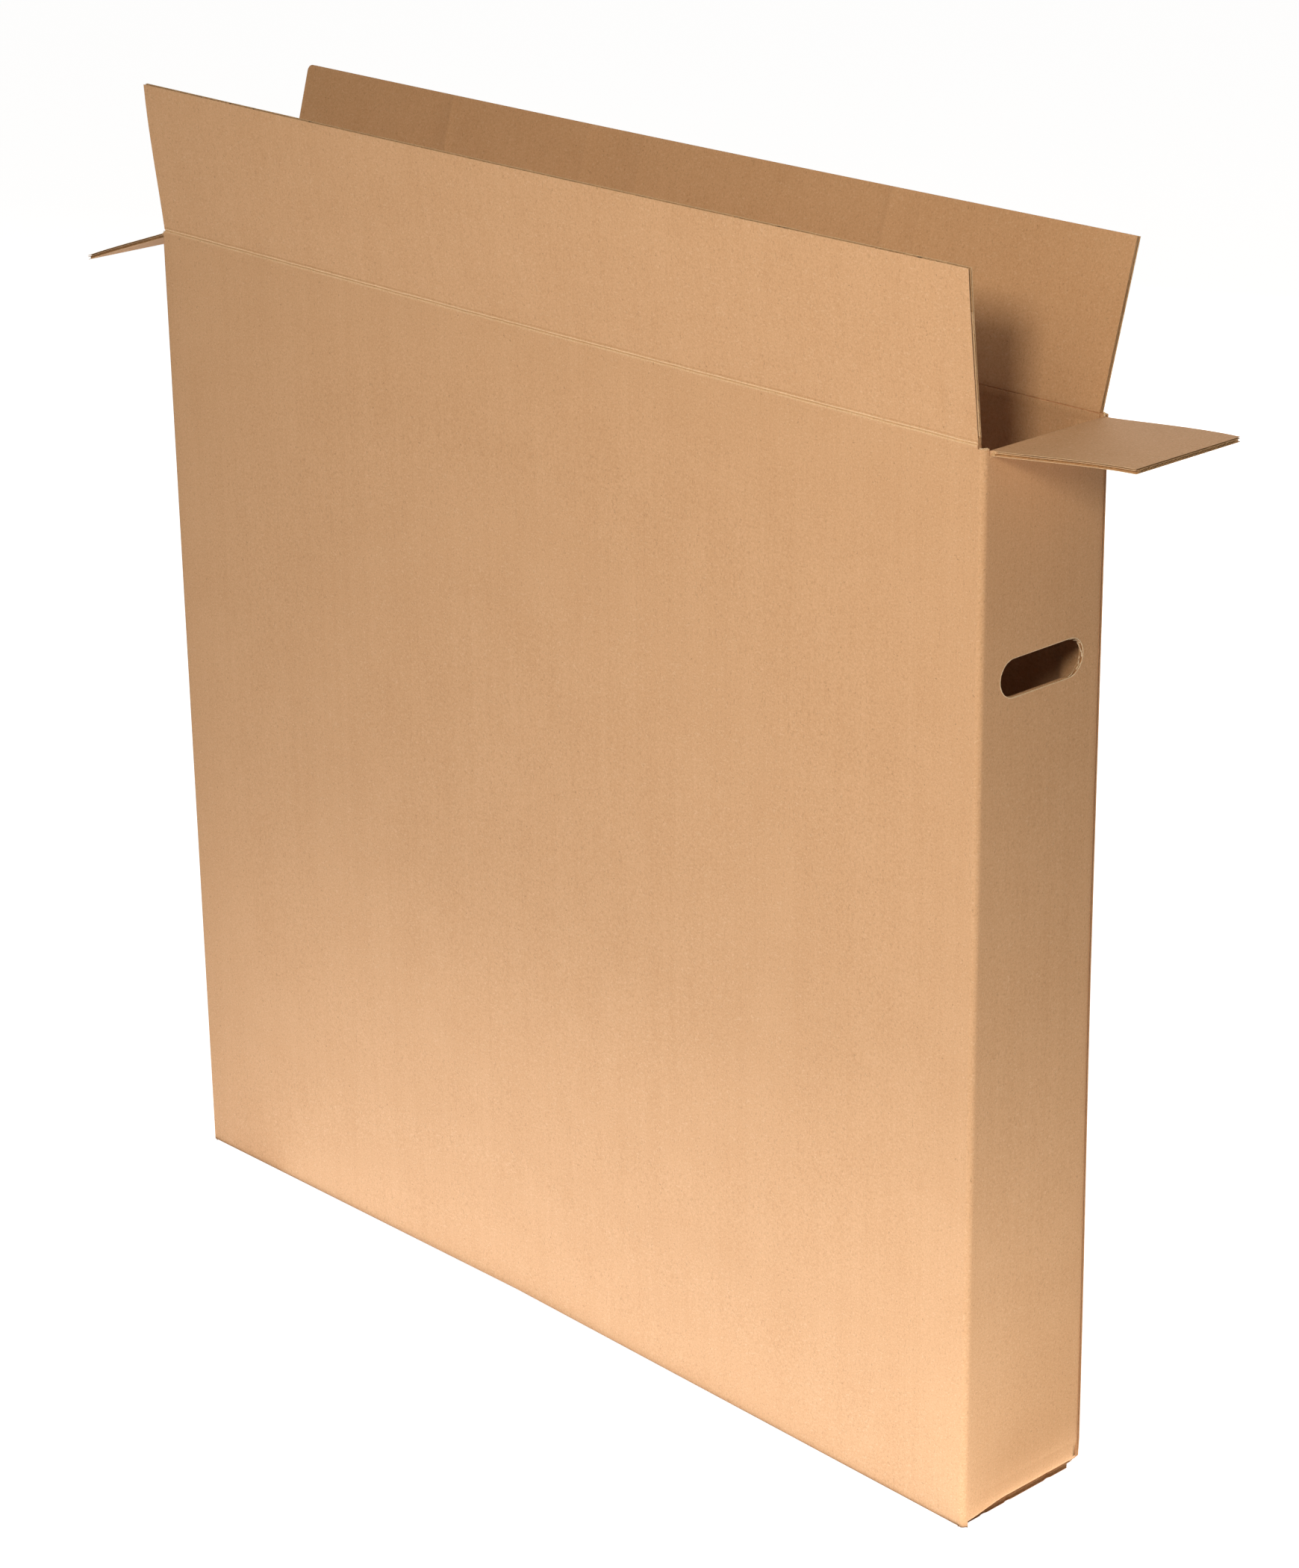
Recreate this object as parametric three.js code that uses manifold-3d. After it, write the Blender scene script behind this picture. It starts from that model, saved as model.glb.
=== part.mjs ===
// Tall, narrow carton for framed pictures, folded from one sheet of double-wall corrugated board.
// It stands upright. Its bottom flaps are folded shut and its four top flaps stand open.
// Millimetres, +Z up. X runs along the long panels and Y across the end panels.
// The origin is the centre of the underside that the carton stands on.

import * as THREE from "three";
import { mergeGeometries, mergeVertices } from "three/addons/utils/BufferGeometryUtils.js";
import Module from "manifold-3d";

// Outside of the carton, from the underside to the front crease.
const LENGTH = 1150;
const WIDTH = 160;
const HEIGHT = 1050;

// The board: three liners with a coarse flute on the outside and a fine flute on the inside.
const BOARD = 4.5;
const LINER = 0.35;
const COARSE_FLUTE = 2.4;
const FLUTE_PITCH = 6.3;
const MEDIUM_WIDTH = 0.45;
const CELL_DEPTH = 7;
const EDGE_GROOVE_DEPTH = 3;
const CELL_MARGIN = 1;

// Folds and creases.
const CORNER_INNER_RADIUS = 1.5;
const FRONT_FOLD_INNER_RADIUS = 1;
const BACK_FOLD_INNER_RADIUS = 2.5;
const END_FOLD_INNER_RADIUS = 1.5;
const CREASE_GAP = 0.25;
const SLOT_MARGIN = 0.5;
const CORNER_LIFT = 1.5;

// Clearances between boards.
const LAYER_GAP = 0.3;
const SIDE_CLEARANCE = 0.5;
const TIP_CLEARANCE = 0.5;

// Each bottom flap loses this much of its reach to its rounded fold.
const FOLD_TAKE_UP = 5.5;

// The lap that joins the sheet into a sleeve, glued inside the back panel.
const LAP_WIDTH = 38;
const LAP_TAPER = 12;
const LAP_END_CLEARANCE = 8;
const RAW_EDGE_SETBACK = 1;

// Hand hole, the same in both end panels.
const HAND_HOLE_WIDTH = 108;
const HAND_HOLE_HEIGHT = 36;
const HAND_HOLE_DROP = 216;

// The worn corner of the back flap.
const WORN_CORNER_RADIUS = 7;

// How far each top flap leans outwards from upright, in degrees.
const FRONT_LEAN = 6;
const BACK_LEAN = 16;
const RIGHT_LEAN = 84.6;
const LEFT_LEAN = 108.5;

// Sizes that follow from those above.
const HALF_LENGTH = LENGTH / 2;
const HALF_WIDTH = WIDTH / 2;
const FINE_FLUTE = BOARD - 3 * LINER - COARSE_FLUTE;
const CORNER_RADIUS = CORNER_INNER_RADIUS + BOARD;
const CREASE_INSET = CORNER_RADIUS + SLOT_MARGIN;
const FLAP_LENGTH = WIDTH - BOARD - TIP_CLEARANCE;
const BOTTOM_REACH = FLAP_LENGTH - FOLD_TAKE_UP;
const LAYER = BOARD + LAYER_GAP;

// Creases are staggered by a layer, so that the end flaps close first, then the back flap, then the front flap.
// Underneath, the folded flaps lie in the same order.
const FRONT_CREASE = HEIGHT;
const BACK_CREASE = HEIGHT - LAYER;
const END_CREASE = HEIGHT - 2 * LAYER;
const FRONT_FLOOR = 0;
const BACK_FLOOR = LAYER;
const END_FLOOR = 2 * LAYER;

// Cutters reach this far past the board, and arcs have this many segments.
const PAST = 1;
const ARC_SEGMENTS = 6;

const QUARTER = Math.PI / 2;

// The four sides, each in a frame of its own: X along the crease, Y inwards from the outer face, Z up.
const FRONT = {
  heading: 0,
  out: HALF_WIDTH,
  halfSpan: HALF_LENGTH - CREASE_INSET,
  crease: FRONT_CREASE,
  floor: FRONT_FLOOR,
  foldRadius: FRONT_FOLD_INNER_RADIUS,
};
const RIGHT = {
  heading: QUARTER,
  out: HALF_LENGTH,
  halfSpan: HALF_WIDTH - CREASE_INSET,
  crease: END_CREASE,
  floor: END_FLOOR,
  foldRadius: END_FOLD_INNER_RADIUS,
};
const BACK = {
  heading: 2 * QUARTER,
  out: HALF_WIDTH,
  halfSpan: HALF_LENGTH - CREASE_INSET,
  crease: BACK_CREASE,
  floor: BACK_FLOOR,
  foldRadius: BACK_FOLD_INNER_RADIUS,
};
const LEFT = { ...RIGHT, heading: 3 * QUARTER };
const SIDES = [FRONT, RIGHT, BACK, LEFT];

const wasm = await Module();
wasm.setup();

// A closed geometry as a solid that can be joined and cut.
function solid(geometry) {
  const bare = new THREE.BufferGeometry();
  bare.setAttribute("position", geometry.getAttribute("position"));
  bare.setIndex(geometry.getIndex());
  const merged = mergeVertices(bare, 1e-4);
  return new wasm.Manifold(
    new wasm.Mesh({
      numProp: 3,
      vertProperties: merged.getAttribute("position").array,
      triVerts: new Uint32Array(merged.getIndex().array),
    }),
  );
}

function geometryOf(body) {
  const { vertProperties, triVerts } = body.getMesh();
  const indexed = new THREE.BufferGeometry();
  indexed.setAttribute("position", new THREE.BufferAttribute(vertProperties, 3));
  indexed.setIndex(new THREE.BufferAttribute(triVerts, 1));
  const faceted = indexed.toNonIndexed();
  faceted.computeVertexNormals();
  return faceted;
}

function extrude(outline, depth) {
  return new THREE.ExtrudeGeometry(outline, { depth, bevelEnabled: false, curveSegments: ARC_SEGMENTS });
}

function polygon(...points) {
  return new THREE.Shape(points.map(([x, y]) => new THREE.Vector2(x, y)));
}

// A section drawn as (inwards, up), run along the crease.
function alongCrease(section, halfSpan) {
  const inwards = new THREE.Vector3(0, 1, 0);
  const up = new THREE.Vector3(0, 0, 1);
  const along = new THREE.Vector3(1, 0, 0);
  return extrude(section, 2 * halfSpan)
    .applyMatrix4(new THREE.Matrix4().makeBasis(inwards, up, along))
    .translate(-halfSpan, 0, 0);
}

// An outline drawn on the panel as (along, up), run from one depth inwards to another.
function throughPanel(outline, from, to) {
  return extrude(outline, to - from)
    .rotateX(QUARTER)
    .translate(0, to, 0);
}

function block(low, high) {
  const size = high.map((value, axis) => value - low[axis]);
  const middle = high.map((value, axis) => (value + low[axis]) / 2);
  return new THREE.BoxGeometry(...size).translate(...middle);
}

// From a side's own frame to the carton's.
function onSide(geometry, side) {
  return geometry.translate(0, -side.out, 0).rotateZ(side.heading);
}

// Plan of the sleeve: three rounded corners, and the lap folded inside the back panel at the fourth.
function sleevePlan() {
  const x = HALF_LENGTH;
  const y = HALF_WIDTH;
  const outer = CORNER_RADIUS;
  const inner = CORNER_INNER_RADIUS;
  const lapFoldY = y - BOARD - outer;
  const plan = new THREE.Shape();
  plan.moveTo(outer - x, -y);
  plan.absarc(x - outer, outer - y, outer, -QUARTER, 0, false);
  plan.absarc(x - outer, lapFoldY, outer, 0, QUARTER, false);
  plan.lineTo(x - RAW_EDGE_SETBACK, y - BOARD);
  plan.lineTo(x - RAW_EDGE_SETBACK, y);
  plan.absarc(outer - x, y - outer, outer, QUARTER, 2 * QUARTER, false);
  plan.absarc(outer - x, outer - y, outer, 2 * QUARTER, 3 * QUARTER, false);

  const inside = new THREE.Path();
  inside.absarc(outer - x, outer - y, inner, 3 * QUARTER, 2 * QUARTER, true);
  inside.absarc(outer - x, y - outer, inner, 2 * QUARTER, QUARTER, true);
  inside.lineTo(x - BOARD - LAP_WIDTH, y - BOARD);
  inside.lineTo(x - BOARD - LAP_WIDTH, y - 2 * BOARD);
  inside.absarc(x - outer, lapFoldY, inner, QUARTER, 0, true);
  inside.absarc(x - outer, outer - y, inner, 0, -QUARTER, true);
  plan.holes.push(inside);
  return plan;
}

// What is taken off above a panel: a mitre that falls inwards from the turning line on the outer face.
function creaseCut(side) {
  const edge = side.crease - CREASE_GAP;
  const section = polygon(
    [-PAST, edge + PAST],
    [BOARD + PAST, edge - BOARD - PAST],
    [BOARD + PAST, HEIGHT + 2 * PAST],
    [-PAST, HEIGHT + 2 * PAST],
  );
  return onSide(alongCrease(section, side.halfSpan), side);
}

// What is taken off below a panel, to make way for its rounded bottom fold.
function foldCut(side) {
  const top = side.floor + side.foldRadius + BOARD;
  return onSide(block([-side.halfSpan, -PAST, -PAST], [side.halfSpan, BOARD + PAST, top]), side);
}

// A rounded bottom fold with its flap, lying inwards.
function bottomFlap(side) {
  const inner = side.foldRadius;
  const outer = inner + BOARD;
  const bend = side.floor + outer;
  const section = new THREE.Shape();
  section.absarc(outer, bend, outer, 2 * QUARTER, 3 * QUARTER, false);
  section.lineTo(BOTTOM_REACH, side.floor);
  section.lineTo(BOTTOM_REACH, side.floor + BOARD);
  section.absarc(outer, bend, inner, 3 * QUARTER, 2 * QUARTER, true);
  return onSide(alongCrease(section, side.halfSpan), side);
}

// The two open flutes along an edge that is cut parallel to them, as depths from the outer face.
const FLUTE_BANDS = [
  [LINER, LINER + COARSE_FLUTE],
  [BOARD - LINER - FINE_FLUTE, BOARD - LINER],
];

// Grooves in the ends of a long bottom flap, where its flutes lie open.
function bottomFlapGrooves(side) {
  const grooves = [];
  const start = side.foldRadius + BOARD;
  for (const [from, to] of FLUTE_BANDS)
    for (const hand of [-1, 1]) {
      const outside = hand * (side.halfSpan + PAST);
      const inside = hand * (side.halfSpan - EDGE_GROOVE_DEPTH);
      const low = [Math.min(outside, inside), start, side.floor + from];
      const high = [Math.max(outside, inside), BOTTOM_REACH + PAST, side.floor + to];
      grooves.push(onSide(block(low, high), side));
    }
  return grooves;
}

// Grooves in the raw upright edge of the back panel, beside the lap.
function rawEdgeGrooves() {
  const edge = HALF_LENGTH - RAW_EDGE_SETBACK;
  return FLUTE_BANDS.map(([from, to]) =>
    onSide(block([-edge - PAST, from, -PAST], [EDGE_GROOVE_DEPTH - edge, to, HEIGHT + PAST]), BACK),
  );
}

// The squared ends of the vertical corner folds, level with the long panels' creases.
function cornerCuts() {
  const cuts = [];
  for (const side of [FRONT, BACK])
    for (const hand of [-1, 1]) {
      const inner = hand * side.halfSpan;
      const outer = hand * (HALF_LENGTH + PAST);
      const low = [Math.min(inner, outer), -PAST];
      const high = [Math.max(inner, outer), CREASE_INSET];
      const base = side.floor + CORNER_LIFT;
      cuts.push(onSide(block([...low, -PAST], [...high, base]), side));
      cuts.push(onSide(block([...low, side.crease], [...high, HEIGHT + PAST]), side));
    }
  return cuts;
}

// The lap stops short of the flaps above and below it, with its ends cut at an angle.
function lapCuts() {
  const fold = BOARD - HALF_LENGTH;
  const free = fold + LAP_WIDTH + PAST;
  const low = END_FLOOR + BOARD + LAP_END_CLEARANCE;
  const high = END_CREASE - BOARD - LAP_END_CLEARANCE;
  const below = polygon([fold, -PAST], [free, -PAST], [free, low + LAP_TAPER], [fold, low]);
  const above = polygon([fold, high], [free, high - LAP_TAPER], [free, HEIGHT + PAST], [fold, HEIGHT + PAST]);
  const ends = [below, above].map((outline) => throughPanel(outline, BOARD, 2 * BOARD + PAST));

  const post = [-HALF_LENGTH - PAST, BOARD];
  const postEnd = [fold, CREASE_INSET];
  const foldTop = END_FLOOR + END_FOLD_INNER_RADIUS + BOARD;
  ends.push(block([...post, -PAST], [...postEnd, foldTop]));
  ends.push(block([...post, END_CREASE - CREASE_GAP], [...postEnd, HEIGHT + PAST]));
  return ends.map((cut) => onSide(cut, BACK));
}

// One obround that runs the length of the carton and so opens both end panels.
function handHoleCut() {
  const radius = HAND_HOLE_HEIGHT / 2;
  const straight = HAND_HOLE_WIDTH / 2 - radius;
  const middle = HEIGHT - HAND_HOLE_DROP;
  const outline = new THREE.Shape();
  outline.absarc(straight, middle, radius, -QUARTER, QUARTER, false);
  outline.absarc(-straight, middle, radius, QUARTER, 3 * QUARTER, false);
  return onSide(throughPanel(outline, -PAST, LENGTH + PAST), RIGHT);
}

function cartonBody() {
  const cuts = [
    ...SIDES.map(creaseCut),
    ...SIDES.map(foldCut),
    ...cornerCuts(),
    ...lapCuts(),
    ...rawEdgeGrooves(),
    handHoleCut(),
  ];
  let body = solid(extrude(sleevePlan(), HEIGHT));
  for (const cut of cuts) body = body.subtract(solid(cut));
  for (const side of SIDES) body = body.add(solid(bottomFlap(side)));
  for (const side of [FRONT, BACK])
    for (const groove of bottomFlapGrooves(side)) body = body.subtract(solid(groove));
  return body;
}

// The open cells of the coarse flute along a flap's free edge, base to the outer liner and to the middle
// liner in turn, with the wavy medium left standing between them.
function fluteCells(halfSpan) {
  const reach = halfSpan - EDGE_GROOVE_DEPTH - CELL_MARGIN;
  const step = FLUTE_PITCH / 2;
  const count = Math.floor((2 * reach) / step) - 1;
  const first = (-(count - 1) * step) / 2;
  const halfBase = step - MEDIUM_WIDTH;
  const cells = [];
  for (let i = 0; i < count; i++) {
    const base = i % 2 ? LINER + COARSE_FLUTE : LINER;
    const tip = i % 2 ? LINER : LINER + COARSE_FLUTE;
    const x = first + i * step;
    const cell = polygon([x - halfBase, base], [x + halfBase, base], [x, tip]);
    cells.push(extrude(cell, CELL_DEPTH + PAST));
  }
  return mergeGeometries(cells).translate(0, 0, FLAP_LENGTH - CELL_DEPTH);
}

// Grooves down both side edges of a flap, and the fine flute along its free edge.
function flapGrooves(halfSpan) {
  const root = CREASE_GAP + BOARD + PAST;
  const past = FLAP_LENGTH + PAST;
  const grooves = [];
  for (const [from, to] of FLUTE_BANDS) {
    grooves.push(block([-halfSpan - PAST, from, root], [EDGE_GROOVE_DEPTH - halfSpan, to, past]));
    grooves.push(block([halfSpan - EDGE_GROOVE_DEPTH, from, root], [halfSpan + PAST, to, past]));
  }
  const [from, to] = FLUTE_BANDS[1];
  const edge = FLAP_LENGTH - EDGE_GROOVE_DEPTH;
  grooves.push(block([-halfSpan - PAST, from, edge], [halfSpan + PAST, to, past]));
  return grooves;
}

// What a rounded corner takes off a flap's free corner, at the +X end of its crease.
function wornCornerCut(halfSpan) {
  const x = halfSpan - WORN_CORNER_RADIUS;
  const z = FLAP_LENGTH - WORN_CORNER_RADIUS;
  const outline = new THREE.Shape();
  outline.absarc(x, z, WORN_CORNER_RADIUS, 0, QUARTER, false);
  outline.lineTo(x, FLAP_LENGTH + PAST);
  outline.lineTo(halfSpan + PAST, FLAP_LENGTH + PAST);
  outline.lineTo(halfSpan + PAST, z);
  return throughPanel(outline, -PAST, BOARD + PAST);
}

// A top flap, upright, with its turning line on the X axis and its outer face at Y = 0.
function topFlap(side, isWorn) {
  const halfSpan = side.halfSpan - SIDE_CLEARANCE;
  const section = polygon([0, CREASE_GAP], [BOARD, CREASE_GAP + BOARD], [BOARD, FLAP_LENGTH], [0, FLAP_LENGTH]);
  let flap = solid(alongCrease(section, halfSpan));
  flap = flap.subtract(solid(fluteCells(halfSpan)));
  for (const groove of flapGrooves(halfSpan)) flap = flap.subtract(solid(groove));
  if (isWorn) flap = flap.subtract(solid(wornCornerCut(halfSpan)));
  return flap;
}

const BOARD_COLOURS = {
  carton_body: 0xc79c6d,
  front_flap: 0xc2966a,
  back_flap: 0xb98c5e,
  right_end_flap: 0xc29972,
  left_end_flap: 0xae8a66,
};

function boardMesh(name, body) {
  const kraft = new THREE.MeshStandardMaterial({
    color: BOARD_COLOURS[name],
    roughness: 0.88,
    metalness: 0,
  });
  const mesh = new THREE.Mesh(geometryOf(body), kraft);
  mesh.name = name;
  return mesh;
}

// A flap turns on the line where its outer face meets the panel's.
function hingedFlap(name, side, lean, isWorn = false) {
  const crease = new THREE.Group();
  crease.rotation.z = side.heading;
  const flap = boardMesh(name, topFlap(side, isWorn));
  flap.position.set(0, -side.out, side.crease);
  flap.rotation.x = THREE.MathUtils.degToRad(lean);
  crease.add(flap);
  return crease;
}

const pictureBox = new THREE.Group();
pictureBox.add(boardMesh("carton_body", cartonBody()));
pictureBox.add(hingedFlap("front_flap", FRONT, FRONT_LEAN));
pictureBox.add(hingedFlap("back_flap", BACK, BACK_LEAN, true));
pictureBox.add(hingedFlap("right_end_flap", RIGHT, RIGHT_LEAN));
pictureBox.add(hingedFlap("left_end_flap", LEFT, LEFT_LEAN));

export default pictureBox;
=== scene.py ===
import math

import bmesh
import bpy
from mathutils import Matrix, Vector, noise


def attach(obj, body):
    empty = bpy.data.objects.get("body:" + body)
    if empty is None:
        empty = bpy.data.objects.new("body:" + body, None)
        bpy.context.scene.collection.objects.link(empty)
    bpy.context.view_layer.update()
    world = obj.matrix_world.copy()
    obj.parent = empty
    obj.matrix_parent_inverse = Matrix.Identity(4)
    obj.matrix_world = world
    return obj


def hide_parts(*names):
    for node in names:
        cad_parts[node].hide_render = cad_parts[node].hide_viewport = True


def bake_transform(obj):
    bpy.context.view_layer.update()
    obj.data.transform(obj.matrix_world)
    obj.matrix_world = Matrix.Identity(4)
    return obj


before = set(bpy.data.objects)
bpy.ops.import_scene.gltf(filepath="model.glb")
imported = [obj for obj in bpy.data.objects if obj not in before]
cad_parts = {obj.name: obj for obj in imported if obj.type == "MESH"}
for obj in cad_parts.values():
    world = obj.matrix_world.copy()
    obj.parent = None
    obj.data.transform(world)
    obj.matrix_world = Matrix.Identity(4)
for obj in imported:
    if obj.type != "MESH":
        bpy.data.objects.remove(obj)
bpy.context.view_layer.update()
# Torn fibres are scattered by vector noise, which starts from the clock unless it has a seed.
noise.seed_set(5)

# Sizes of the carton, in metres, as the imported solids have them.
LENGTH = 1.150
WIDTH = 0.160
HEIGHT = 1.050
BOARD = 0.0045
FLAP_LENGTH = 0.155
FLUTE_PITCH = 0.0063
HOLE_CENTRE_Z = 0.834
HOLE_WIDTH = 0.108
HOLE_HEIGHT = 0.036
STRAIGHT_HALF = (HOLE_WIDTH - HOLE_HEIGHT) / 2
# Depths under the outer face where a liner meets a fluted layer.
OUTER_LINER = 0.00035
COARSE_FLUTE_END = 0.00275
MID_LINER_END = 0.0031
FINE_FLUTE_END = 0.00415
# The boards of the folded bottom lie this far apart, and the top creases are staggered by as much.
LAYER = 0.0048
BOTTOM_LAYERS = (0.0, LAYER, 2 * LAYER)
BOTTOM_STACK_TOP = 0.0143

UP = Vector((0, 0, 1))

# One entry for each top flap: where it turns, which way it opens and how far it leans outward.
SIDES = {
    "front": {"node": "front_flap", "hinge": (0, -0.08, 1.05), "along": (1, 0, 0), "outward": (0, -1, 0),
              "lean": 6.0, "half": 0.568},
    "back": {"node": "back_flap", "hinge": (0, 0.08, 1.0452), "along": (1, 0, 0), "outward": (0, 1, 0),
             "lean": 16.0, "half": 0.568},
    "right_end": {"node": "right_end_flap", "hinge": (0.575, 0, 1.0404), "along": (0, 1, 0),
                  "outward": (1, 0, 0), "lean": 84.6, "half": 0.073},
    "left_end": {"node": "left_end_flap", "hinge": (-0.575, 0, 1.0404), "along": (0, 1, 0),
                 "outward": (-1, 0, 0), "lean": 108.5, "half": 0.073},
}
for side in SIDES.values():
    lean = math.radians(side["lean"])
    side["hinge"] = Vector(side["hinge"])
    side["along"] = Vector(side["along"])
    side["outward"] = Vector(side["outward"])
    side["reach"] = side["outward"] * math.sin(lean) + UP * math.cos(lean)
    side["inward"] = UP * math.sin(lean) - side["outward"] * math.cos(lean)


def smooth(value):
    """A soft step from 0 to 1."""
    value = min(max(value, 0.0), 1.0)
    return value * value * (3 - 2 * value)


# Camera: fitted to the creases and panel edges of the photograph.
CAMERA_PLACE = Vector((2.6806, -2.4267, 1.9661))
CAMERA_AZIMUTH = math.radians(47.06)
CAMERA_ELEVATION = math.radians(21.15)
CAMERA_ROLL = math.radians(-0.72)
CAMERA_LENS = 89.51
CAMERA_SENSOR = 36.0


def make_camera():
    """A long lens whose roll follows the slight tilt of the photograph."""
    data = bpy.data.cameras.new("camera")
    data.lens = CAMERA_LENS
    data.sensor_fit = "VERTICAL"
    data.sensor_height = CAMERA_SENSOR
    data.clip_end = 60
    camera = bpy.data.objects.new("camera", data)
    bpy.context.scene.collection.objects.link(camera)
    back = Vector((math.sin(CAMERA_AZIMUTH) * math.cos(CAMERA_ELEVATION),
                   -math.cos(CAMERA_AZIMUTH) * math.cos(CAMERA_ELEVATION),
                   math.sin(CAMERA_ELEVATION)))
    right = UP.cross(back).normalized()
    upward = back.cross(right)
    turned_right = right * math.cos(CAMERA_ROLL) + upward * math.sin(CAMERA_ROLL)
    turned_up = upward * math.cos(CAMERA_ROLL) - right * math.sin(CAMERA_ROLL)
    turn = Matrix((turned_right, turned_up, back)).transposed().to_4x4()
    camera.matrix_world = Matrix.Translation(CAMERA_PLACE) @ turn
    bpy.context.scene.camera = camera


# Materials.
def linear(colour):
    """An sRGB hex colour as linear RGBA."""
    parts = [int(colour[i:i + 2], 16) / 255 for i in (1, 3, 5)]
    return tuple(c / 12.92 if c <= 0.04045 else ((c + 0.055) / 1.055) ** 2.4 for c in parts) + (1.0,)


def add(tree, kind, inputs=(), **settings):
    """Adds a node. Settings are its own options, and each input is a value or a socket to link."""
    node = tree.nodes.new(kind)
    for key, value in settings.items():
        setattr(node, key, value)
    for key, value in dict(inputs).items():
        if isinstance(value, bpy.types.NodeSocket):
            tree.links.new(value, node.inputs[key])
        else:
            node.inputs[key].default_value = value
    return node


def new_material(name):
    """An empty node material."""
    material = bpy.data.materials.new(name)
    material.use_nodes = True
    material.node_tree.nodes.clear()
    return material, material.node_tree


def finish_surface(tree, inputs):
    """Ends a material in one shader."""
    shader = add(tree, "ShaderNodeBsdfPrincipled", inputs)
    add(tree, "ShaderNodeOutputMaterial", {"Surface": shader.outputs[0]})


KRAFT_DEEP = "#C4966B"
KRAFT_PALE = "#DDB38B"
FLECK_DARK = "#9A744A"
FLECK_PALE = "#EBD2AE"
# The scale at which a wave texture repeats once for each flute.
FLUTE_WAVES = 2 * math.pi / (20 * FLUTE_PITCH)
# The fibres in the liner: stretch, scale, where they start, their colour and how strong they are.
FLECKS = (
    ((1, 1, 0.5), 560.0, 0.63, FLECK_DARK, 0.22),
    ((0.6, 0.6, 1), 600.0, 0.63, FLECK_PALE, 0.22),
    ((1, 1, 1), 330.0, 0.735, FLECK_DARK, 0.55),
)


def kraft_liner(name, across, deep=KRAFT_DEEP, pale=KRAFT_PALE):
    """Kraft linerboard: unbleached pine pulp, pressed and dried on a paper machine, then glued over
    the flutes. The eye gets a matt tan sheet with cloudy patches, faint upright streaks, a shadow of
    the flutes under it, and short dark and pale fibres. Real fibres are a small part of a millimetre
    wide, and are drawn about a millimetre wide so that they show."""
    material, tree = new_material(name)
    place = add(tree, "ShaderNodeTexCoord").outputs["Object"]
    upright = add(tree, "ShaderNodeMapping", {"Vector": place, "Scale": (1, 1, 0.03)}).outputs[0]
    streak = add(tree, "ShaderNodeTexNoise", {"Vector": upright, "Scale": 90.0, "Detail": 3.0,
                                              "Roughness": 0.55}).outputs[0]
    cloud = add(tree, "ShaderNodeTexNoise", {"Vector": place, "Scale": 16.0, "Detail": 4.0,
                                             "Roughness": 0.55}).outputs[0]
    ridge = add(tree, "ShaderNodeTexWave", {"Vector": place, "Scale": FLUTE_WAVES, "Distortion": 0.4,
                                            "Detail": 1.0},
                wave_type="BANDS", bands_direction=across).outputs[1]
    grain = add(tree, "ShaderNodeTexNoise", {"Vector": place, "Scale": 600.0, "Detail": 3.0,
                                             "Roughness": 0.75}).outputs[0]
    tone = 0.0
    for pattern, weight in ((streak, 0.22), (cloud, 0.26), (ridge, 0.02), (grain, 1.5)):
        tone = add(tree, "ShaderNodeMath", {0: pattern, 1: weight, 2: tone},
                   operation="MULTIPLY_ADD").outputs[0]
    tone = add(tree, "ShaderNodeMapRange", {"Value": tone, "From Min": 0.60, "From Max": 1.40}).outputs[0]
    colour = add(tree, "ShaderNodeMix", {0: tone, 6: linear(deep), 7: linear(pale)},
                 data_type="RGBA").outputs[2]
    for stretch, scale, start, ink, strength in FLECKS:
        laid = add(tree, "ShaderNodeMapping", {"Vector": place, "Scale": stretch,
                                               "Location": (scale, 0.3, 0.7)}).outputs[0]
        spots = add(tree, "ShaderNodeTexNoise", {"Vector": laid, "Scale": scale, "Detail": 1.0}).outputs[0]
        mask = add(tree, "ShaderNodeMapRange", {"Value": spots, "From Min": start, "From Max": start + 0.06,
                                                "To Max": strength}).outputs[0]
        colour = add(tree, "ShaderNodeMix", {0: mask, 6: colour, 7: linear(ink)},
                     data_type="RGBA").outputs[2]
    height = grain
    for pattern, weight in ((ridge, 0.12), (streak, 0.8)):
        height = add(tree, "ShaderNodeMath", {0: pattern, 1: weight, 2: height},
                     operation="MULTIPLY_ADD").outputs[0]
    bump = add(tree, "ShaderNodeBump", {"Strength": 0.15, "Distance": 0.0005, "Height": height}).outputs[0]
    finish_surface(tree, {"Base Color": colour, "Roughness": 0.84, "IOR": 1.45, "Normal": bump})
    return material


def raw_paper(name, low, high, scale, rise):
    """Cut or torn paper: fibres stand up where a blade or a tear went through. The eye gets a dull,
    slightly woolly surface with no gloss at all."""
    material, tree = new_material(name)
    place = add(tree, "ShaderNodeTexCoord").outputs["Object"]
    wool = add(tree, "ShaderNodeTexNoise", {"Vector": place, "Scale": scale, "Detail": 5.0,
                                            "Roughness": 0.7}).outputs[0]
    tone = add(tree, "ShaderNodeMapRange", {"Value": wool, "From Min": 0.34, "From Max": 0.66}).outputs[0]
    colour = add(tree, "ShaderNodeMix", {0: tone, 6: linear(low), 7: linear(high)},
                 data_type="RGBA").outputs[2]
    bump = add(tree, "ShaderNodeBump", {"Strength": 0.6, "Distance": rise, "Height": wool}).outputs[0]
    finish_surface(tree, {"Base Color": colour, "Roughness": 0.95, "IOR": 1.45, "Normal": bump})
    return material


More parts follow.
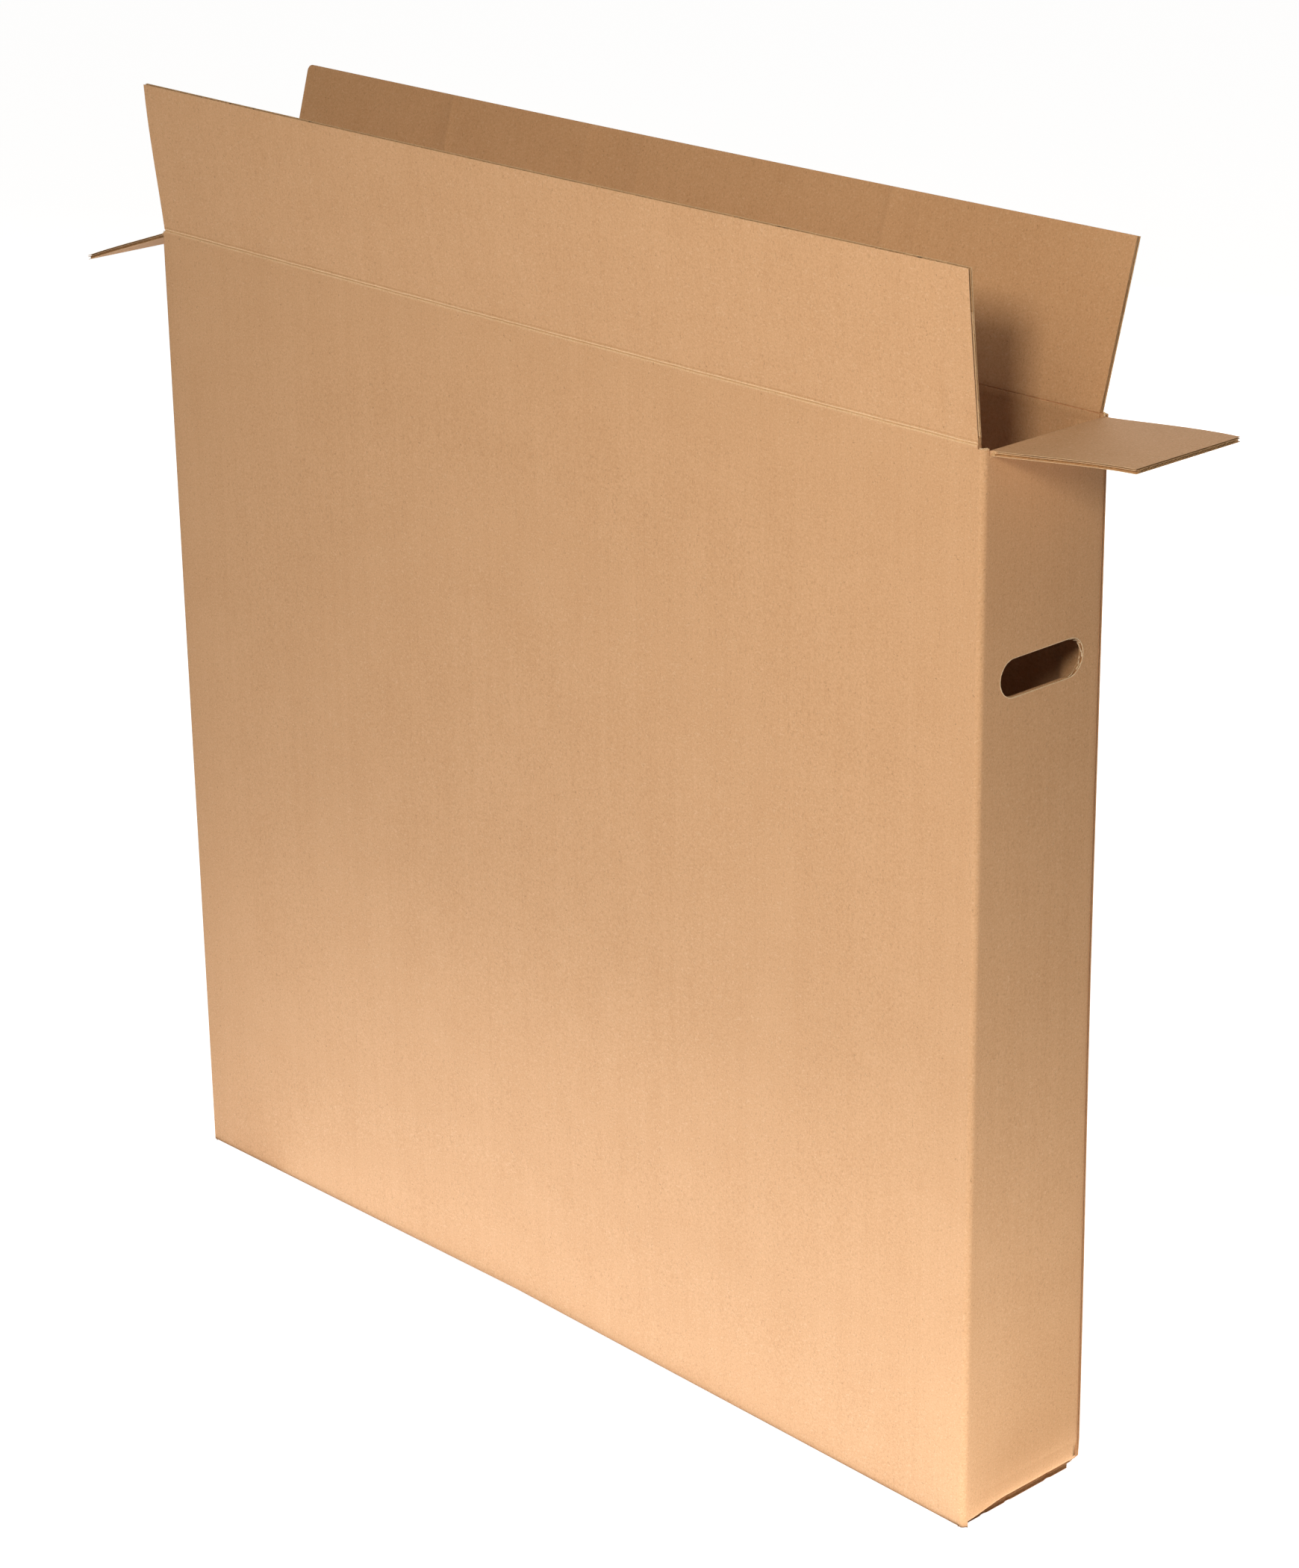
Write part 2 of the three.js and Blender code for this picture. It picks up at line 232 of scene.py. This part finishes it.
LONG_LINER = kraft_liner("kraft_liner_long_panels", "X")
END_LINER = kraft_liner("kraft_liner_end_panels", "Y")
FLUTED_LAYER = raw_paper("raw_fluting_paper", "#AE845A", "#CFA97E", 380.0, 0.0003)
CUT_LINER = raw_paper("cut_edge_of_liner", "#D2AD84", "#E9CBA4", 420.0, 0.0002)
# The paler kraft along each crease is a painted highlight of the pressed ridge.
CREASE_PAINTED_HIGHLIGHT = kraft_liner("crease_painted_highlight", "X", "#D6AC80", "#EDCFA8")
# Pale torn fibre for the tufts and strands; on the hand-hole lip its paleness is partly a painted highlight
# along the rim.
TORN_FIBRE_AND_PAINTED_RIM_HIGHLIGHT = raw_paper("torn_kraft_fibre_and_painted_rim_highlight", "#DDBD95", "#F0DDBF", 600.0, 0.0003)
LINERS = (LONG_LINER, END_LINER, FLUTED_LAYER, CUT_LINER)
LONG, END, FLUTES, CUT = range(4)


# How the board has settled: small bends that real board takes, added to the straight solids.
CREASE_SAG = 0.0015
PANEL_BOW = 0.0028
END_PANEL_BOW = 0.0012
BACK_SPREAD = 0.0050
BACK_SPREAD_HEIGHT = 0.6
# The long bottom fold arches up and out between the corners, most at a nick left of its middle.
BOTTOM_NICK_X = -0.062
ARCH_RISE = 0.0040
ARCH_OUT = 0.0045
ARCH_HEIGHT = 0.28
# The lower edge of an end panel dips to the front corner over this depth.
END_DIP = 0.0062
END_PANEL = 0.0052
# An upright corner: its size, how it is rounded at the foot, and the torn stump at its top.
CORNER_POST = 0.0062
CORNER_ROUND = 0.006
CORNER_KEPT = 0.50
FRONT_FOOT_LIFT = 0.0022
BACK_FOOT_LIFT = 0.0042
STUMP = 0.0066
STUMP_FROM = 1.0425
STUMP_TOP = 1.0462
STUMP_ROUGH = 0.0013
# The cut ends of the bottom flaps: how deep they and the floors of their open flutes lie, where their
# finish starts, how far crushed fluting fills them, and the nicks that are pressed into them.
FLAP_END = (0.0065, 0.0120)
CUT_END = 0.0069
FLUTE_FLOOR = (0.0085, 0.0115)
FLUTE_FILL = 0.0022
CORNER_FLUTE_FILL = 0.0006
BOTTOM_CRUSHES = (-0.046, -0.013, 0.042)
CRUSH_TOP = 0.0100
CRUSH_DEEP = 0.0016
CRUSH_HALF_WIDTH = 0.0045
# How far each flap bows between its crease and its free edge, and how much an end flap narrows.
FLAP_BELLY = {"front": 0.006, "back": 0.006, "right_end": 0.008, "left_end": 0.004}
END_FLAP_TAPER = {"right_end": 0.085, "left_end": 0.03}
FLAP_SHORTENING = 0.0008
# Press lines across a flap, as (place along the crease, how deep, start and end along the flap).
PRESS_LINES = {
    "front": ((0.530, 0.0003, 0.0, 1.0),),
    "back": ((-0.332, 0.0006, 0.45, 0.95), (-0.128, 0.0004, 0.2, 1.0), (-0.048, 0.0004, 0.3, 1.0),
             (0.280, 0.0006, 0.35, 1.0), (0.318, 0.0005, 0.2, 0.95)),
    "right_end": (),
    "left_end": (),
}
PRESS_HALF_WIDTH = 0.0025
# Places and heights where the body is cut so that its long straight faces can bend.
BODY_CUTS_Y = (-0.0715, -0.065, -0.057, -0.036)
BODY_CUTS_Z = (0.0008, 0.002, 0.0036, 0.0056, 0.0068, 0.0084, 0.03, 0.08, 0.14, 0.21, 0.28, 0.36, 0.44,
               0.52, 0.60, 0.68, 0.76, 0.86, 0.92, 0.98, 1.02)


def crease_sag(side, v):
    """How far a long crease hangs below its straight line."""
    if side["along"].x == 0:
        return Vector((0, 0, 0))
    return -CREASE_SAG * math.cos(math.pi * v / LENGTH) * UP


def settle_corner(p, moved):
    """An upright corner is torn to a ragged stump between two flaps, and rounded at its foot."""
    x, y, z = p
    out_x = LENGTH / 2 - abs(x)
    out_y = WIDTH / 2 - abs(y)
    if z > STUMP_FROM and out_x < STUMP and out_y < STUMP:
        moved.z = STUMP_TOP + STUMP_ROUGH * noise.noise(p * 620.0)
    if out_x >= CORNER_POST or out_y >= CORNER_POST:
        return
    if y > 0:
        foot = LAYER
        moved.z += BACK_FOOT_LIFT * smooth(1 - (z - foot) / 0.022)
    else:
        foot = 0.0
        moved.z += FRONT_FOOT_LIFT * smooth(1 - z / 0.006)
    if z < foot + CORNER_ROUND:
        rise = (foot + CORNER_ROUND - z) / CORNER_ROUND
        kept = max(CORNER_KEPT, math.sqrt(max(0.0, 1 - min(rise, 1.0) ** 2)))
        pin_x = math.copysign(LENGTH / 2 - CORNER_ROUND, x)
        pin_y = math.copysign(WIDTH / 2 - CORNER_ROUND, y)
        moved.x -= (x - pin_x) * (1 - kept)
        moved.y -= (y - pin_y) * (1 - kept)


def crush_bottom_ends(p, moved):
    """Crushed fluting nearly fills the cut ends of the bottom flaps, and a few nicks are pressed in."""
    x, y, z = p
    out_x = LENGTH / 2 - abs(x)
    if z < BOTTOM_STACK_TOP and FLUTE_FLOOR[0] < out_x < FLUTE_FLOOR[1]:
        fill = FLUTE_FILL + CORNER_FLUTE_FILL * smooth((abs(y) - 0.050) / 0.015)
        moved.x += math.copysign(fill, x)
    if z < CRUSH_TOP and FLAP_END[0] < out_x < FLAP_END[1]:
        for nick in BOTTOM_CRUSHES:
            moved.x -= math.copysign(CRUSH_DEEP * smooth(1 - abs(y - nick) / CRUSH_HALF_WIDTH), x)


def settle_body(p):
    """Where a point of the straight body lies in the settled carton."""
    x, y, z = p
    moved = p.copy()
    across = min(max((y + WIDTH / 2) / WIDTH, 0.0), 1.0)
    out_x = LENGTH / 2 - abs(x)
    # The back of the carton stands a little wider at the floor.
    moved.y += BACK_SPREAD * across * smooth(1 - z / BACK_SPREAD_HEIGHT)
    span = LENGTH / 2 + (BOTTOM_NICK_X if x < BOTTOM_NICK_X else -BOTTOM_NICK_X)
    arch = max(0.0, 1 - abs(x - BOTTOM_NICK_X) / span)
    near_front = smooth(1 - across * 2.2)
    low = smooth(1 - z / ARCH_HEIGHT)
    moved.z += ARCH_RISE * arch * near_front * low
    moved.y += ARCH_OUT * arch * near_front * low
    # The long panels bow outward, and the end panels a little.
    upright = math.sin(math.pi * min(max(z / HEIGHT, 0.0), 1.0))
    lengthwise = math.cos(math.pi * x / LENGTH)
    moved.y += PANEL_BOW * upright * lengthwise * (2 * across - 1)
    moved.x += END_PANEL_BOW * upright * math.cos(math.pi * y / WIDTH) * (2 * x / LENGTH) ** 3
    if x > 0 and BOARD < WIDTH / 2 - y < BOARD + CORNER_POST and out_x < CORNER_POST:
        # The lap is creased tightly, so the end panel stays flat almost to the raw back edge.
        moved.x += 0.9 * out_x * smooth((z - 0.012) / 0.018)
    if out_x < END_PANEL:
        dip = smooth((-0.020 - y) / 0.055) * smooth(1 - z / 0.05) * min(1.0, z / (2 * LAYER))
        moved.z -= END_DIP * dip
    settle_corner(p, moved)
    crush_bottom_ends(p, moved)
    near_top = smooth((z - 0.80) / 0.24)
    side = SIDES["front"] if across < 0.5 else SIDES["back"]
    return moved + crease_sag(side, x) * near_top * smooth(abs(2 * across - 1) * 1.6 - 0.4)


def settle_flap(name):
    """Gives a function that says where a point of one straight flap lies in the settled flap."""
    side = SIDES[name]
    inward = side["inward"]

    def settle(p):
        local = p - side["hinge"]
        v = local.dot(side["along"])
        s = min(max(local.dot(side["reach"]) / FLAP_LENGTH, 0.0), 1.0)
        moved = p + crease_sag(side, v)
        belly = s * s * (1 - s)
        if name == "right_end":
            moved += inward * FLAP_BELLY[name] * belly
            moved.y -= local.y * END_FLAP_TAPER[name] * s
        elif name == "left_end":
            moved += inward * FLAP_BELLY[name] * belly
            moved.y -= local.y * END_FLAP_TAPER[name] * s * s
        elif name == "front":
            moved -= inward * (FLAP_BELLY[name] + 0.003 * math.sin(v * 9.0)) * belly
        else:
            # The back flap bends only where it stays clear of the front flap when both are shut.
            clear = smooth((0.40 - abs(v)) / 0.08)
            moved += inward * (FLAP_BELLY[name] + 0.004 * math.sin(v * 7.5 + 0.6)) * belly * clear
        moved -= side["reach"] * FLAP_SHORTENING * s * s
        for at, deep, start, end in PRESS_LINES[name]:
            if abs(v - at) < PRESS_HALF_WIDTH * 0.5 and start <= s <= end + 0.01:
                moved += inward * deep
        return moved

    return settle


def depth_finish(depth, edge):
    """Which finish a face has, from its depth under the outer face of the board."""
    skin = 0.00002
    if depth < skin or depth > BOARD - skin:
        return edge
    fluted = OUTER_LINER < depth < COARSE_FLUTE_END or MID_LINER_END < depth < FINE_FLUTE_END
    return FLUTES if fluted else CUT


def flap_finish(name):
    """Gives a function that says which finish a face of one flap has."""
    side = SIDES[name]
    liner = LONG if side["along"].x else END

    def finish(face):
        depth = (face.calc_center_median() - side["hinge"]).dot(side["inward"])
        return depth_finish(depth, liner)

    return finish


def body_finish(face):
    """Which finish a face of the body has: liner, or the layers that its cut edges show."""
    centre = face.calc_center_median()
    out_x = LENGTH / 2 - abs(centre.x)
    out_y = WIDTH / 2 - abs(centre.y)
    normal = face.normal
    liner = END if abs(normal.x) > abs(normal.y) and abs(normal.x) > abs(normal.z) else LONG
    raw_back_edge = 0.0005 < out_x < BOARD and out_y < BOARD and centre.x > 0 and centre.y > 0
    if centre.z < BOTTOM_STACK_TOP and out_x > CUT_END and abs(normal.x) > 0.5:
        floor = max(layer for layer in BOTTOM_LAYERS if layer <= centre.z + 0.0001)
        return depth_finish(centre.z - floor, CUT)
    if raw_back_edge and normal.x > 0.5:
        return depth_finish(out_y, CUT)
    in_hole = abs(centre.z - HOLE_CENTRE_Z) < HOLE_HEIGHT and abs(centre.y) < HOLE_WIDTH / 2 + 0.008
    if in_hole and out_x < BOARD and abs(normal.x) < 0.3:
        return depth_finish(out_x, CUT)
    return liner


def every(step, half):
    """Even places from -half to half."""
    count = int(half / step)
    return [i * step for i in range(-count, count + 1)]


def cut_planes(name):
    """Planes that give a long straight face enough edges to bend."""
    x_axis = Vector((1, 0, 0))
    y_axis = Vector((0, 1, 0))
    if name == "body":
        planes = [(Vector((x, 0, 0)), x_axis) for x in every(0.045, 0.56) + [BOTTOM_NICK_X]]
        planes += [(Vector((0, y, 0)), y_axis) for y in every(0.024, 0.06) + list(BODY_CUTS_Y)]
        planes += [(Vector((0, nick + shift, 0)), y_axis) for nick in BOTTOM_CRUSHES
                   for shift in (-CRUSH_HALF_WIDTH, -0.002, 0.002, CRUSH_HALF_WIDTH)]
        planes += [(Vector((0, 0, z)), UP) for z in BODY_CUTS_Z]
        return planes
    side = SIDES[name]
    planes = [(side["hinge"] + side["reach"] * FLAP_LENGTH * i / 8, side["reach"]) for i in range(1, 8)]
    step = 0.045 if side["along"].x else 0.018
    places = every(step, side["half"] - 0.01)
    for at, _, start, end in PRESS_LINES[name]:
        places += [at - PRESS_HALF_WIDTH, at, at + PRESS_HALF_WIDTH]
        planes += [(side["hinge"] + side["reach"] * FLAP_LENGTH * s, side["reach"]) for s in (start, end)
                   if 0 < s < 1]
    return planes + [(side["hinge"] + side["along"] * v, side["along"]) for v in places]


def mesh_object(name, bm, materials, sharp=28):
    """A finished piece at the origin, smooth apart from its edges over the sharp angle in degrees."""
    mesh = bpy.data.meshes.new(name)
    bm.to_mesh(mesh)
    bm.free()
    for material in materials:
        mesh.materials.append(material)
    mesh.polygons.foreach_set("use_smooth", [True] * len(mesh.polygons))
    mesh.set_sharp_from_angle(angle=math.radians(sharp))
    piece = bpy.data.objects.new(name, mesh)
    bpy.context.scene.collection.objects.link(piece)
    return piece


def open_hand_hole_edges(bm):
    """Opens the cut flutes round each hand hole. The flutes stand upright, so they show as cells along
    the straight edges of the hole and as two long grooves round its ends."""
    def rim():
        return [f for f in bm.faces
                if abs(f.normal.x) < 0.3
                and LENGTH / 2 - BOARD < abs(f.calc_center_median().x) < LENGTH / 2
                and abs(f.calc_center_median().z - HOLE_CENTRE_Z) < HOLE_HEIGHT * 0.6
                and abs(f.calc_center_median().y) < HOLE_WIDTH / 2 + 0.002]

    planes = []
    for depth in (OUTER_LINER, COARSE_FLUTE_END, MID_LINER_END, FINE_FLUTE_END):
        for sign in (-1, 1):
            planes.append((Vector((sign * (LENGTH / 2 - depth), 0, 0)), Vector((1, 0, 0))))
    for y in every(FLUTE_PITCH / 2, STRAIGHT_HALF):
        planes.append((Vector((0, y, 0)), Vector((0, 1, 0))))
    for place, normal in planes:
        faces = rim()
        geom = faces + list({e for f in faces for e in f.edges}) + list({v for f in faces for v in f.verts})
        bmesh.ops.bisect_plane(bm, geom=geom, dist=1e-6, plane_co=place, plane_no=normal)
    cells = []
    grooves = []
    for face in rim():
        centre = face.calc_center_median()
        depth = LENGTH / 2 - abs(centre.x)
        if OUTER_LINER < depth < COARSE_FLUTE_END:
            flat = abs(face.normal.z) > 0.99 and abs(centre.y) < STRAIGHT_HALF
            (cells if flat else grooves).append(face)
        elif MID_LINER_END < depth < FINE_FLUTE_END:
            grooves.append(face)
    bmesh.ops.inset_individual(bm, faces=cells, thickness=0.00022, use_even_offset=True)
    for deep, faces in ((0.006, cells), (0.0022, grooves)):
        normals = {}
        for face in faces:
            for vert in face.verts:
                normals.setdefault(vert.co.copy().freeze(), face.normal.copy())
        if faces is cells:
            made = bmesh.ops.extrude_discrete_faces(bm, faces=faces)["faces"]
            for face in made:
                bmesh.ops.translate(bm, verts=face.verts, vec=-deep * face.normal)
        else:
            made = bmesh.ops.extrude_face_region(bm, geom=faces)["geom"]
            bmesh.ops.delete(bm, geom=faces, context="FACES_ONLY")
            for vert in [g for g in made if isinstance(g, bmesh.types.BMVert)]:
                vert.co -= deep * normals[vert.co.copy().freeze()]
    bmesh.ops.delete(bm, geom=[e for e in bm.edges if not e.link_faces], context="EDGES")


def settled_piece(name, node, settle, finish, planes):
    """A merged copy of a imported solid, cut so that it can bend, finished face by face and settled."""
    bm = bmesh.new()
    bm.from_mesh(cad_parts[node].data)
    bmesh.ops.remove_doubles(bm, verts=bm.verts, dist=0.00001)
    bmesh.ops.dissolve_limit(bm, angle_limit=math.radians(0.2), verts=bm.verts, edges=bm.edges)
    if node == "carton_body":
        open_hand_hole_edges(bm)
    for place, normal in planes:
        geom = bm.verts[:] + bm.edges[:] + bm.faces[:]
        bmesh.ops.bisect_plane(bm, geom=geom, dist=1e-6, plane_co=place, plane_no=normal)
    bmesh.ops.triangulate(bm, faces=[f for f in bm.faces if len(f.verts) > 4])
    for face in bm.faces:
        face.material_index = finish(face)
    for vert in bm.verts:
        vert.co = settle(vert.co)
    return mesh_object(name, bm, LINERS)


def crease_section(side):
    """The outline of the folded board across a crease, from the panel to the flap and back inside."""
    reach = side["reach"]
    outward = side["outward"]
    inward = side["inward"]
    down = -UP
    points = [down * 0.0034 - outward * 0.00005, down * 0.0018 + outward * 0.00030,
              down * 0.0008 + outward * 0.00022, outward * -0.00070,
              reach * 0.0007 - inward * 0.00035, reach * 0.0018 - inward * 0.00055,
              reach * 0.0038 + inward * 0.00005]
    press = 0.0011 if side["lean"] < 45 else 0.0002
    points += [reach * 0.0085 + inward * (BOARD + 0.00002), reach * 0.0052 + inward * (BOARD + 0.00025),
               reach * 0.0022 + inward * (BOARD + 0.0001)]
    bends = 7
    for i in range(bends):
        share = i / (bends - 1)
        towards = (inward * (1 - share) - outward * share).normalized()
        points.append(towards * (BOARD - press * math.sin(math.pi * share) - 0.0002))
    points += [down * 0.0022 - outward * (BOARD + 0.0001), down * 0.0052 - outward * (BOARD + 0.00025),
               down * 0.0085 - outward * (BOARD + 0.00002)]
    return points


def crease_piece(name):
    """Folded board across one crease. Pressing it flat and turning it open and shut raises an uneven ridge
    on each side of a fine dark line; the faces next to the fold get a paler kraft as a painted highlight."""
    side = SIDES[name]
    half = side["half"] - 0.0004
    steps = 150 if side["along"].x else 24
    bm = bmesh.new()
    start = side["hinge"] - side["along"] * half
    ring = [bm.verts.new(start + p) for p in crease_section(side)]
    edges = [bm.edges.new((a, b)) for a, b in zip(ring, ring[1:] + ring[:1])]
    stride = side["along"] * (2 * half / steps)
    for _ in range(steps):
        grown = bmesh.ops.extrude_edge_only(bm, edges=edges)["geom"]
        new_verts = [g for g in grown if isinstance(g, bmesh.types.BMVert)]
        edges = [g for g in grown if isinstance(g, bmesh.types.BMEdge)
                 and all(v in new_verts for v in g.verts)]
        bmesh.ops.translate(bm, verts=new_verts, vec=stride)
    bmesh.ops.holes_fill(bm, edges=[e for e in bm.edges if e.is_boundary])
    bmesh.ops.recalc_face_normals(bm, faces=bm.faces)
    # Faces near the fold, end caps apart, take the paler kraft: a painted highlight along the ridge.
    for face in bm.faces:
        local = face.calc_center_median() - side["hinge"]
        away = (local - side["along"] * local.dot(side["along"])).length
        end_cap = abs(face.normal.dot(side["along"])) > 0.9
        face.material_index = 1 if away < 0.0019 and not end_cap else 0
    for vert in bm.verts:
        local = vert.co - side["hinge"]
        v = local.dot(side["along"])
        rough = noise.noise(vert.co * 140.0) * 0.00030 + noise.noise(vert.co * 45.0) * 0.00030
        away = local - side["along"] * v
        if away.length < 0.003:
            vert.co += side["outward"] * rough * 0.7 + UP * rough * 1.6
        vert.co += crease_sag(side, v)
    liner = LONG_LINER if side["along"].x else END_LINER
    piece = mesh_object(name + "_crease_fold", bm, (liner, CREASE_PAINTED_HIGHLIGHT), sharp=60)
    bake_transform(piece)


# The raised lip round a hand hole, the torn strands in one end of it, and the tip of a torn fibre.
LIP_WIDTH = 0.0007
LIP_THICKNESS = 0.0006
LIP_ROUGH = 0.0004
STRANDS = 13
FIBRE_TIP = 0.0002
TUFTS = 9


def torn_piece(name, bm):
    """A piece of torn fibre that stays with the carton."""
    piece = mesh_object(name, bm, (TORN_FIBRE_AND_PAINTED_RIM_HIGHLIGHT,))
    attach(piece, "carton")


def torn_fibre(bm, place, tilt, radius, length):
    """One short fibre that tapers to its tip."""
    bmesh.ops.create_cone(bm, cap_ends=True, segments=5, radius1=radius, radius2=FIBRE_TIP, depth=length,
                          matrix=Matrix.Translation(place) @ tilt)


def hand_hole_lip(name, sign):
    """The die that cuts the hand hole leaves a thin raised lip of pale fibre round its edge; its paleness
    is partly a painted highlight along the rim.
    """
    bm = bmesh.new()
    bmesh.ops.create_circle(bm, cap_ends=True, segments=56, radius=HOLE_HEIGHT / 2 + LIP_WIDTH)
    for vert in bm.verts:
        vert.co.x += math.copysign(STRAIGHT_HALF, vert.co.x)
    bmesh.ops.inset_region(bm, faces=bm.faces, thickness=LIP_WIDTH + 0.0001, use_even_offset=True,
                            use_boundary=True)
    hole = max(bm.faces, key=lambda f: len(f.verts))
    bmesh.ops.delete(bm, geom=[hole], context="FACES_ONLY")
    bmesh.ops.solidify(bm, geom=bm.faces, thickness=LIP_THICKNESS)
    place = Matrix.Translation((sign * (LENGTH / 2 + 0.0002), 0, HOLE_CENTRE_Z))
    turn = Matrix(((0, 0, sign), (1, 0, 0), (0, sign, 0))).to_4x4()
    bmesh.ops.transform(bm, matrix=place @ turn, verts=bm.verts)
    bmesh.ops.recalc_face_normals(bm, faces=bm.faces)
    for vert in bm.verts:
        vert.co = settle_body(vert.co)
        vert.co.x += sign * 0.00012 * noise.noise(vert.co * 700.0)
        vert.co.z += LIP_ROUGH * noise.noise(vert.co * 500.0)
        vert.co.y += LIP_ROUGH * noise.noise(vert.co * 430.0)
    torn_piece(name, bm)


def torn_hand_hole_end(name, sign):
    """Strands of torn fluting hang in the end of the hand hole next to the back panel."""
    bm = bmesh.new()
    for i in range(STRANDS):
        spread = noise.noise_vector(Vector((i * 2.9, 7.1, sign)))
        angle = math.radians(-82 + 164 * i / (STRANDS - 1))
        out = Vector((0, math.cos(angle), math.sin(angle)))
        depth = BOARD * (0.20 + 0.55 * (i % 3) / 2)
        centre = Vector((sign * (LENGTH / 2 - depth), STRAIGHT_HALF, HOLE_CENTRE_Z))
        place = centre + out * (HOLE_HEIGHT / 2 - 0.0008 + 0.0006 * spread.z)
        along = Vector((0, -out.z, out.y))
        lie = (along + 0.35 * spread - 0.25 * out).normalized()
        tilt = lie.to_track_quat("Z", "X").to_matrix().to_4x4()
        torn_fibre(bm, place, tilt, 0.0007, 0.0052 + 0.0050 * spread.x)
    for vert in bm.verts:
        vert.co = settle_body(vert.co)
    torn_piece(name, bm)


def torn_corners():
    """Where the slots end, the liner is torn and leaves short pale tufts on the four corner stumps."""
    bm = bmesh.new()
    seed = 0
    for sign_x in (-1, 1):
        for sign_y in (-1, 1):
            for i in range(TUFTS):
                seed += 1
                spread = noise.noise_vector(Vector((seed * 3.7, 1.3, 0.4)))
                angle = math.radians(10 + 80 * i / (TUFTS - 1))
                place = Vector((sign_x * (LENGTH / 2 - CORNER_ROUND + 0.0050 * math.cos(angle)),
                                sign_y * (WIDTH / 2 - CORNER_ROUND + 0.0050 * math.sin(angle)),
                                STUMP_TOP + 0.0006 * spread.z))
                tilt = Matrix.Rotation(spread.x * 1.6, 4, "X") @ Matrix.Rotation(spread.y * 1.6, 4, "Y")
                torn_fibre(bm, place, tilt, 0.0009, 0.0026 + 0.0012 * spread.x)
    torn_piece("torn_corner_fibres", bm)


def make_board():
    """The settled board in place of the straight solids, with its creases and torn edges."""
    body = settled_piece("carton_board", "carton_body", settle_body, body_finish, cut_planes("body"))
    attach(body, "carton")
    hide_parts("carton_body")
    for name, side in SIDES.items():
        piece = settled_piece(name + "_flap_board", side["node"], settle_flap(name), flap_finish(name),
                              cut_planes(name))
        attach(piece, side["node"])
        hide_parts(side["node"])
        crease_piece(name)
    hand_hole_lip("right_hand_hole_lip", 1)
    hand_hole_lip("left_hand_hole_lip", -1)
    torn_hand_hole_end("right_hand_hole_torn_strands", 1)
    torn_hand_hole_end("left_hand_hole_torn_strands", -1)
    torn_corners()


# Stage: a pale floor, a white surround and soft lamps.
def white_to_the_camera(tree, strength):
    """A factor that is 1 for the camera and for glossy and clear rays, and 0 for light on the object."""
    path = add(tree, "ShaderNodeLightPath").outputs
    seen = add(tree, "ShaderNodeMath", {0: path["Is Camera Ray"], 1: path["Is Glossy Ray"]},
               operation="MAXIMUM").outputs[0]
    seen = add(tree, "ShaderNodeMath", {0: seen, 1: path["Is Transmission Ray"]},
               operation="MAXIMUM").outputs[0]
    return add(tree, "ShaderNodeMath", {0: seen, 1: strength}, operation="MULTIPLY").outputs[0]


def make_stage():
    """The floor, the surround and the lamps."""
    bm = bmesh.new()
    bmesh.ops.create_grid(bm, x_segments=2, y_segments=2, size=16)
    material, tree = new_material("pale_studio_floor")
    paint = add(tree, "ShaderNodeBsdfDiffuse", {"Color": linear("#E6E5E3")}).outputs[0]
    glow = add(tree, "ShaderNodeEmission", {"Color": linear("#FFFFFF"),
                                            "Strength": white_to_the_camera(tree, 0.94)}).outputs[0]
    both = add(tree, "ShaderNodeAddShader", {0: paint, 1: glow}).outputs[0]
    add(tree, "ShaderNodeOutputMaterial", {"Surface": both})
    floor = mesh_object("studio_floor", bm, (material,))

    world = bpy.data.worlds.new("studio")
    world.use_nodes = True
    tree = world.node_tree
    tree.nodes.clear()
    soft = add(tree, "ShaderNodeBackground", {"Color": linear("#FFF6EA"), "Strength": 0.05}).outputs[0]
    white = add(tree, "ShaderNodeBackground", {"Color": linear("#FFFFFF"), "Strength": 1.0}).outputs[0]
    both = add(tree, "ShaderNodeMixShader", {0: white_to_the_camera(tree, 1.0), 1: soft,
                                             2: white}).outputs[0]
    add(tree, "ShaderNodeOutputWorld", {"Surface": both})
    bpy.context.scene.world = world

    # Each lamp: name, place, the point it faces, size, power in watts and tint.
    lamps = (
        ("front_key", (0.72, -1.8, 2.32), (0.2, 0.0, 0.8), (0.9, 0.9), 8.0, "#FFF4E2"),
        ("corner_key", (1.75, -2.3, 2.3), (0.3, 0.0, 0.8), (0.5, 0.5), 41.0, "#FFF2DC"),
        ("top_soft", (0.9, -0.6, 3.3), (0.1, 0.0, 1.0), (2.2, 2.2), 9.0, "#FFF8EE"),
        ("back_soft", (-1.6, 3.2, 2.0), (0.0, 0.0, 0.5), (2.0, 2.0), 48.0, "#FFF9F2"),
        ("floor_bounce_front", (0.5, -1.233, 0.003), (0.5, -1.233, 1.0), (2.6, 2.3), 24.0, "#FBFBFF"),
        ("floor_bounce_near", (0.35, -0.383, 0.003), (0.35, -0.383, 1.0), (1.6, 0.6), 2.6, "#D8EAFA"),
        ("floor_bounce_side", (0.925, 0.0, 0.003), (0.925, 0.0, 1.0), (0.7, 0.9), 2.1, "#FFF3E0"),
        ("floor_bounce_end", (0.7225, 0.167, 0.003), (0.7225, 0.167, 1.0), (0.3, 0.5), 0.45, "#FAFCFF"),
    )
    for name, place, aim, size, power, colour in lamps:
        data = bpy.data.lights.new(name, "AREA")
        data.shape = "RECTANGLE"
        data.size, data.size_y = size
        data.energy = power
        data.color = linear(colour)[:3]
        lamp = bpy.data.objects.new(name, data)
        lamp.visible_camera = False
        bpy.context.scene.collection.objects.link(lamp)
        turn = (Vector(aim) - Vector(place)).to_track_quat("-Z", "Y").to_matrix().to_4x4()
        lamp.matrix_world = Matrix.Translation(place) @ turn


make_camera()
make_board()
make_stage()

bpy.context.scene.view_settings.view_transform = "Standard"
